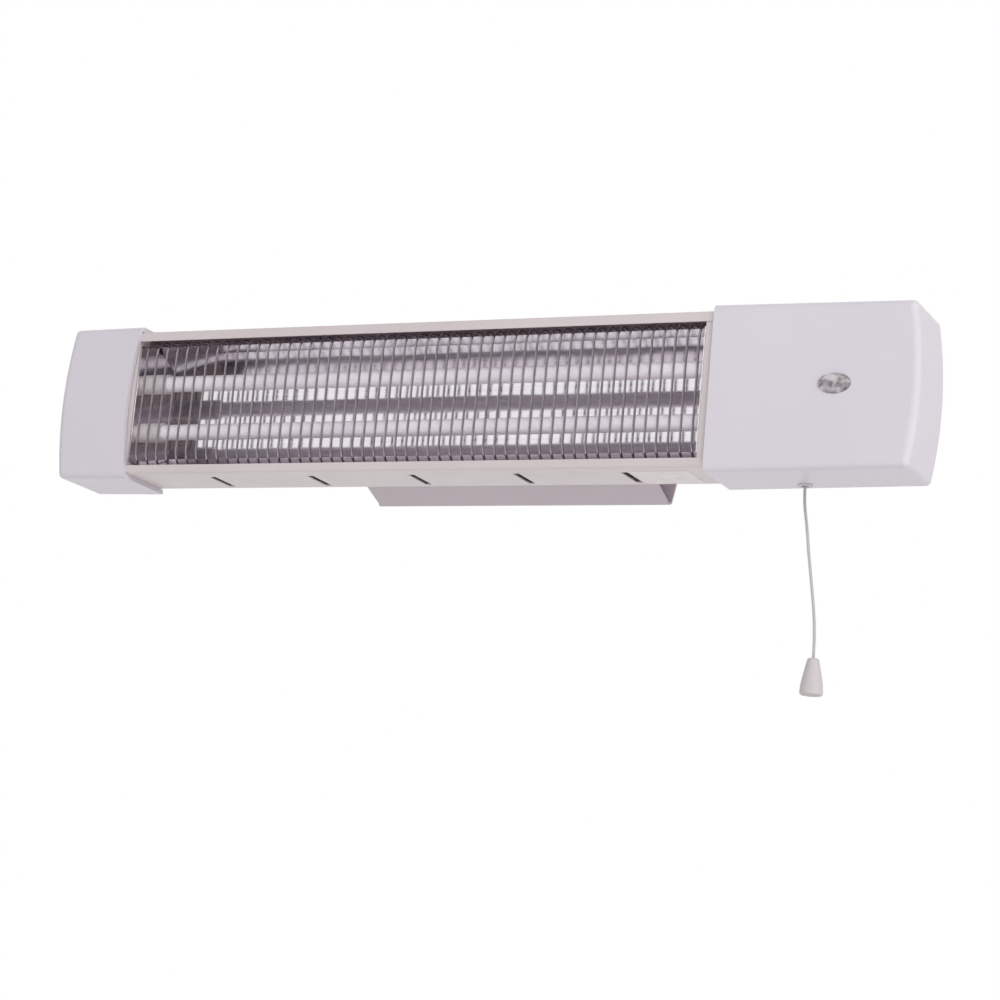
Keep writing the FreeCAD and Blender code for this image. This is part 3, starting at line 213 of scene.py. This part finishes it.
def mirror_sheet():
    """Bright rolled aluminium: rolling streaks along the sheet and a slight ripple."""
    look = Look("mirror_sheet", Metallic=1.0)
    streaks = look.noise(420, 5, (0.03, 1, 1))
    look.feed("Base Color", look.ramp(streaks, [(0.3, colour(226, 221, 226)), (0.7, colour(240, 236, 240))]))
    look.feed("Roughness", look.ramp(streaks, [(0.25, 0.05), (0.75, 0.11)]))
    look.bump(look.noise(38, 2, (0.6, 1, 1)), 0.12, 0.8 * MM)
    return look.material


def plated(name, dark, light, roughness):
    """Plated metal with fine handling marks."""
    look = Look(name, Metallic=1.0)
    marks = look.noise(900, 6)
    look.feed("Base Color", look.ramp(look.noise(120, 4), [(0.3, dark), (0.7, light)]))
    look.feed("Roughness", look.ramp(marks, [(0.3, roughness), (0.7, roughness + 0.12)]))
    look.bump(marks, 0.05, 0.02 * MM)
    return look.material


def milky_quartz():
    """Satin fused quartz, clouded along its length."""
    look = Look("milky_quartz", Specular_IOR_Level=0.5, Coat_Weight=0.9, Coat_Roughness=0.12,
                Subsurface_Weight=0.12, Subsurface_Radius=(1, 0.9, 1), Subsurface_Scale=2 * MM)
    clouds = look.noise(70, 5, (0.25, 1, 1))
    look.feed("Base Color", look.ramp(clouds, [(0.3, colour(238, 228, 240)), (0.7, colour(251, 244, 251))]))
    look.feed("Roughness", look.ramp(clouds, [(0.3, 0.28), (0.7, 0.4)]))
    look.bump(look.noise(500, 3, (0.3, 1, 1)), 0.08, 0.05 * MM)
    return look.material


def ceramic():
    """Unglazed steatite with fine specks."""
    look = Look("steatite", Specular_IOR_Level=0.45)
    specks = look.noise(1500, 3)
    look.feed("Base Color", look.ramp(specks, [(0.35, colour(198, 191, 193)), (0.6, colour(212, 205, 207))]))
    look.feed("Roughness", look.ramp(look.noise(200), [(0.3, 0.45), (0.7, 0.62)]))
    look.bump(specks, 0.15, 0.06 * MM)
    return look.material


def clear_lens():
    """Clear moulded lens with a prism bump; its few pale and dark patches are painted reflections in the base
    colour.
    """
    look = Look("clear_lens", Transmission_Weight=0.3, IOR=1.49, Coat_Weight=0.6, Coat_Roughness=0.04)
    prisms = look.node("TexVoronoi", Vector=look.place, Scale=260)
    # painted reflection: these pale and dark patches of base colour stand in for what the lens reflects
    shades = [(0.36, colour(112, 102, 106)), (0.5, colour(178, 170, 176)), (0.64, colour(232, 229, 232))]
    look.feed("Base Color", look.ramp(look.noise(210, 3), shades))
    look.feed("Roughness", look.ramp(look.noise(500), [(0.3, 0.05), (0.7, 0.12)]))
    look.bump(prisms.outputs["Distance"], 0.4, 0.4 * MM)
    return look.material


def lamp_glass():
    """Orange glass of the indicator lamp."""
    look = Look("lamp_glass", Transmission_Weight=0.8, IOR=1.5)
    shades = [(0.3, colour(214, 150, 110)), (0.7, colour(236, 190, 150))]
    look.feed("Base Color", look.ramp(look.noise(400), shades))
    look.feed("Roughness", look.ramp(look.noise(300), [(0.3, 0.06), (0.7, 0.15)]))
    return look.material


def rubber(name, dark, light):
    """Dull rubber, sleeving or fibre with a fine grain."""
    look = Look(name, Specular_IOR_Level=0.35)
    grain = look.noise(1200, 4)
    look.feed("Base Color", look.ramp(look.noise(90, 4), [(0.3, dark), (0.7, light)]))
    look.feed("Roughness", look.ramp(grain, [(0.3, 0.55), (0.7, 0.75)]))
    look.bump(grain, 0.2, 0.08 * MM)
    return look.material


def braid():
    """White polyester cord."""
    look = Look("cord_yarn", Specular_IOR_Level=0.3, Sheen_Weight=0.3, Sheen_Roughness=0.5)
    yarn = look.noise(2400, 4, (1, 1, 0.3))
    look.feed("Base Color", look.ramp(yarn, [(0.25, colour(176, 175, 174)), (0.7, colour(206, 205, 203))]))
    look.feed("Roughness", look.ramp(yarn, [(0.3, 0.7), (0.7, 0.9)]))
    look.bump(yarn, 0.4, 0.1 * MM)
    return look.material


def label_stock():
    """Blank satin label."""
    look = Look("label_stock", Specular_IOR_Level=0.5)
    shades = [(0.3, colour(214, 206, 206)), (0.7, colour(228, 221, 222))]
    look.feed("Base Color", look.ramp(look.noise(160, 4), shades))
    look.feed("Roughness", look.ramp(look.noise(500), [(0.3, 0.3), (0.7, 0.42)]))
    look.bump(look.noise(700, 3), 0.08, 0.05 * MM)
    return look.material


def dress_nodes():
    """Gives every solid of the frame its material, by the record's slots."""
    looks = {
        "case_paint": enamel("case_enamel", colour(206, 196, 197), colour(213, 203, 205)),
        "bracket_paint": enamel("bracket_enamel", colour(185, 174, 181), colour(193, 182, 189)),
        "cap_plastic": moulded("cap_plastic", colour(211, 206, 216), colour(217, 212, 221)),
        "reflector_metal": mirror_sheet(),
        "quartz": milky_quartz(),
        "coil_wire": plated("coil_wire", colour(84, 78, 76), colour(120, 112, 108), 0.4),
        "ceramic": ceramic(),
        "guard_chrome": plated("guard_chrome", colour(146, 138, 144), colour(172, 165, 170), 0.16),
        "brass": plated("brass", colour(190, 158, 92), colour(214, 184, 118), 0.28),
        "zinc_steel": plated("zinc_steel", colour(160, 158, 160), colour(190, 188, 190), 0.3),
        "clear_lens": clear_lens(),
        "lamp_glass": lamp_glass(),
        "inner_plastic": moulded("inner_plastic", colour(214, 210, 202), colour(226, 222, 214), 0.5),
        "trim_plastic": moulded("trim_plastic", colour(205, 199, 206), colour(212, 206, 213), 0.45),
        "dark_plastic": moulded("dark_plastic", colour(30, 30, 31), colour(44, 43, 44), 0.5),
        "lead_sleeve": rubber("lead_sleeve", colour(196, 190, 182), colour(214, 208, 200)),
        "washer_fibre": rubber("washer_fibre", colour(96, 70, 52), colour(122, 92, 70)),
        "gland_rubber": rubber("gland_rubber", colour(28, 28, 29), colour(42, 41, 42)),
        "cord_braid": braid(),
        "knob_plastic": moulded("knob_plastic", colour(197, 190, 192), colour(204, 198, 200), 0.32),
    }
    for part in frame["record"]["subparts"]:
        slots = nodes[part["node"]].data.materials
        slots.clear()
        slots.append(looks[part["material_slot"]])
    return looks


# Pieces

def middle(node):
    """The centre of a node's box."""
    low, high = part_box(node)
    return (Vector(low) + Vector(high)) / 2


def mesh_piece(name, body, material, build):
    """A mesh object whose bmesh the build function fills."""
    mesh = bpy.data.meshes.new(name)
    shape = bmesh.new()
    build(shape)
    bmesh.ops.recalc_face_normals(shape, faces=shape.faces)
    shape.to_mesh(mesh)
    shape.free()
    mesh.materials.append(material)
    piece = bpy.data.objects.new(name, mesh)
    bpy.context.collection.objects.link(piece)
    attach(piece, body)
    return piece


def sweep(shape, points, radius, sides):
    """A closed round tube through points, kept from twisting along the way."""
    rings = []
    across = None
    for index, point in enumerate(points):
        ahead = points[min(index + 1, len(points) - 1)] - points[max(index - 1, 0)]
        ahead.normalize()
        if across is None:
            across = ahead.orthogonal()
        across = (across - ahead * across.dot(ahead)).normalized()
        over = ahead.cross(across)
        turns = [2 * math.pi * side / sides for side in range(sides)]
        rings.append([shape.verts.new(point + (across * math.cos(turn) + over * math.sin(turn)) * radius)
                      for turn in turns])
    for first, second in zip(rings, rings[1:]):
        for side in range(sides):
            after = (side + 1) % sides
            face = shape.faces.new((first[side], first[after], second[after], second[side]))
            face.smooth = True
    shape.faces.new(rings[0])
    shape.faces.new(rings[-1])


def smooth_line(route):
    """Points read along the smooth curve that a route's points control."""
    curve = bpy.data.curves.new("route", "CURVE")
    curve.dimensions = "3D"
    spline = curve.splines.new("NURBS")
    spline.points.add(len(route) - 1)
    for control, place in zip(spline.points, route):
        control.co = (*place, 1)
    spline.order_u = 3
    spline.use_endpoint_u = True
    spline.resolution_u = ROUTE_RESOLUTION
    holder = bpy.data.objects.new("route", curve)
    bpy.context.collection.objects.link(holder)
    line = bpy.data.meshes.new_from_object(holder)
    points = [vertex.co.copy() for vertex in line.vertices]
    bpy.data.objects.remove(holder)
    bpy.data.curves.remove(curve)
    bpy.data.meshes.remove(line)
    return points


def pull_knob(material):
    """Bell-shaped knob, turned from its profile, with a hollow under its rim."""
    top = middle("pull_knob")
    top.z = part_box("pull_knob")[1][2]

    def build(shape):
        rings = []
        for radius, depth in KNOB_BELL:
            centre = top - Vector((0, 0, depth)) * MM
            count = KNOB_SIDES if radius else 1
            turns = [2 * math.pi * side / KNOB_SIDES for side in range(count)]
            rings.append([shape.verts.new(centre + Vector((math.cos(turn), math.sin(turn), 0)) * radius * MM)
                          for turn in turns])
        for first, second in zip(rings, rings[1:]):
            for side in range(KNOB_SIDES):
                after = (side + 1) % KNOB_SIDES
                corners = [first[side % len(first)], first[after % len(first)],
                           second[after % len(second)], second[side % len(second)]]
                face = shape.faces.new(list(dict.fromkeys(corners)))
                face.smooth = True

    piece = mesh_piece("pull_knob_bell", "cord", material, build)
    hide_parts("pull_knob")
    return piece


def wound(name, node, body, material, wire, turns, axis):
    """A wire wound about the node's long axis, with a closed turn at each end, in place of the node."""
    low, high = (Vector(corner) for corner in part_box(node))
    across = [index for index in range(3) if index != axis]
    radius = (high - low)[across[0]] / 2 - wire / 2
    span = (high - low)[axis] - wire
    line = []
    for step in range((turns + 2) * TURN_STEPS + 1):
        turn = step / TURN_STEPS
        share = min(max((turn - 1) / turns, 0), 1)
        point = (low + high) / 2
        point[axis] = low[axis] + wire / 2 + share * span
        point[across[0]] += radius * math.cos(2 * math.pi * turn)
        point[across[1]] += radius * math.sin(2 * math.pi * turn)
        line.append(point)
    piece = mesh_piece(name, body, material, lambda shape: sweep(shape, line, wire / 2, WIRE_SIDES))
    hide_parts(node)
    return piece


def label(material):
    """Blank plate with rounded corners under the case."""
    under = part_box("case_shell")[0][2]
    low, high = LABEL_LOW + Vector((0, 0, under)), LABEL_HIGH + Vector((0, 0, under))
    outline = []
    for number, (x, y) in enumerate(((1, 1), (0, 1), (0, 0), (1, 0))):
        corner = Vector((high.x - LABEL_CORNER if x else low.x + LABEL_CORNER,
                         high.y - LABEL_CORNER if y else low.y + LABEL_CORNER, under))
        for step in range(LABEL_CORNER_STEPS + 1):
            turn = math.pi / 2 * (number + step / LABEL_CORNER_STEPS)
            outline.append(corner + Vector((math.cos(turn), math.sin(turn), 0)) * LABEL_CORNER)

    def build(shape):
        face = shape.faces.new([shape.verts.new(point) for point in outline])
        grown = bmesh.ops.extrude_face_region(shape, geom=[face])["geom"]
        moved = [item for item in grown if isinstance(item, bmesh.types.BMVert)]
        bmesh.ops.translate(shape, vec=(0, 0, -LABEL_THICK), verts=moved)

    mesh_piece("blank_label", "heater", material, build)


def pull_cord(material, knob):
    """Twisted cord whose strands follow the route's smooth line."""
    top = middle("switch_plunger")
    top.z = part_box("pull_cord")[1][2]
    path = smooth_line([top + Vector(offset) for offset in CORD_ROUTE])
    strand = CORD_DIAMETER / 2 / (1 + 2 / math.sqrt(3))
    reach = CORD_DIAMETER / 2 - strand

    def build(shape):
        for number in range(CORD_STRANDS):
            run = 0
            line = []
            for before, point in zip([path[0]] + path, path):
                run += (point - before).length
                turn = 2 * math.pi * (run / CORD_LAY + number / CORD_STRANDS)
                line.append(point + Vector((math.cos(turn), math.sin(turn), 0)) * reach)
            sweep(shape, line, strand, STRAND_SIDES)

    piece = mesh_piece("pull_cord_strands", "cord", material, build)
    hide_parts("pull_cord")


# Studio

def camera():
    """The camera, turned by its right and up directions."""
    lens = bpy.data.cameras.new("camera")
    lens.lens = CAMERA_LENS
    lens.sensor_fit = "HORIZONTAL"
    lens.sensor_width = CAMERA_SENSOR
    holder = bpy.data.objects.new("camera", lens)
    turn = Matrix((CAMERA_RIGHT, CAMERA_UP, CAMERA_RIGHT.cross(CAMERA_UP))).transposed()
    holder.matrix_world = Matrix.Translation(CAMERA_PLACE) @ turn.to_4x4()
    bpy.context.collection.objects.link(holder)
    bpy.context.scene.camera = holder


def lamp(name, place, aim, size, power, tint):
    """A large soft lamp that lights the heater but leaves no patch of its own in shiny pieces."""
    light = bpy.data.lights.new(name, "AREA")
    light.shape = "RECTANGLE"
    light.size, light.size_y = size
    light.energy = power
    light.color = tint
    holder = bpy.data.objects.new(name, light)
    holder.location = place
    holder.rotation_euler = (Vector(aim) - Vector(place)).to_track_quat("-Z", "Y").to_euler()
    holder.visible_glossy = False
    bpy.context.collection.objects.link(holder)


def seen_rays(tree):
    """1 for a ray that shows the background to the camera, straight or through metal and glass, or else 0."""
    path = tree.nodes.new("ShaderNodeLightPath")
    seen = path.outputs["Is Camera Ray"]
    for label in ("Is Glossy Ray", "Is Transmission Ray"):
        either = tree.nodes.new("ShaderNodeMath")
        either.operation = "MAXIMUM"
        tree.links.new(seen, either.inputs[0])
        tree.links.new(path.outputs[label], either.inputs[1])
        seen = either.outputs[0]
    return seen


def world():
    """Even fill light; the background shows white, also in metal and glass."""
    sky = bpy.data.worlds.new("studio")
    bpy.context.scene.world = sky
    sky.use_nodes = True
    tree = sky.node_tree
    tree.nodes.clear()
    strength = tree.nodes.new("ShaderNodeMapRange")
    tree.links.new(seen_rays(tree), strength.inputs["Value"])
    strength.inputs["To Min"].default_value = FILL_LIGHT
    strength.inputs["To Max"].default_value = 1
    light = tree.nodes.new("ShaderNodeBackground")
    light.inputs["Color"].default_value = (1, 1, 1, 1)
    tree.links.new(strength.outputs[0], light.inputs["Strength"])
    output = tree.nodes.new("ShaderNodeOutputWorld")
    tree.links.new(light.outputs[0], output.inputs["Surface"])


def plane(name, size, matrix, material):
    """A flat piece of the stage."""
    mesh = bpy.data.meshes.new(name)
    shape = bmesh.new()
    bmesh.ops.create_grid(shape, x_segments=1, y_segments=1, size=0.5)
    bmesh.ops.scale(shape, vec=(size[0], size[1], 1), verts=shape.verts)
    shape.to_mesh(mesh)
    shape.free()
    mesh.materials.append(material)
    piece = bpy.data.objects.new(name, mesh)
    piece.matrix_world = matrix
    bpy.context.collection.objects.link(piece)
    return piece


def card_look():
    """Grey card that polished metal shows; rays that light other pieces pass through it."""
    look = Look("card", Roughness=0.9, Specular_IOR_Level=0.1)
    shades = [(0.3, colour(142, 132, 130)), (0.7, colour(158, 148, 146))]
    look.feed("Base Color", look.ramp(look.noise(3), shades))
    either = look.tree.nodes.new("ShaderNodeMixShader")
    look.tree.links.new(look.node("LightPath").outputs["Diffuse Depth"], either.inputs[0])
    look.tree.links.new(look.shader.outputs[0], either.inputs[1])
    look.tree.links.new(look.node("BsdfTransparent").outputs[0], either.inputs[2])
    look.tree.links.new(either.outputs[0], look.tree.nodes["Material Output"].inputs["Surface"])
    return look.material


def floor_look():
    """Pale floor that keeps its shadow and shows nearly white, also in metal and glass."""
    look = Look("floor", Roughness=0.8, Specular_IOR_Level=0.2, Emission_Color=(1, 1, 1, 1))
    look.feed("Base Color", look.ramp(look.noise(3), [(0.3, 0.9), (0.7, 0.93)]))
    glow = look.node("MapRange", Value=seen_rays(look.tree), To_Max=FLOOR_GLOW)
    look.feed("Emission Strength", glow.outputs["Result"])
    return look.material


def studio():
    world()
    plane("floor", (FLOOR_SIZE, FLOOR_SIZE), Matrix.Translation((0, 0, FLOOR_Z)), floor_look())
    upright = Matrix.Rotation(CARD_TURN, 4, "Z") @ Matrix.Rotation(math.pi / 2, 4, "X")
    card = plane("camera_side_card", CARD_SIZE, Matrix.Translation(CARD_PLACE) @ upright, card_look())
    card.visible_camera = False
    card.visible_diffuse = False
    card.visible_shadow = False
    for settings in LAMPS:
        lamp(*settings)


camera()
looks = dress_nodes()
pull_cord(looks["cord_braid"], pull_knob(looks["knob_plastic"]))
for level in ("upper", "lower"):
    wound(f"coil_turns_{level}", f"heating_coil_{level}", "heater", looks["coil_wire"],
          COIL_WIRE, COIL_TURNS, axis=0)
spring = wound("spring_turns", "return_spring", "heater", looks["zinc_steel"],
               SPRING_WIRE, SPRING_TURNS, axis=2)
spring_foot = middle("return_spring")
spring_foot.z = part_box("return_spring")[0][2]
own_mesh(spring)
label(label_stock())
studio()

bpy.context.scene.view_settings.view_transform = "Standard"
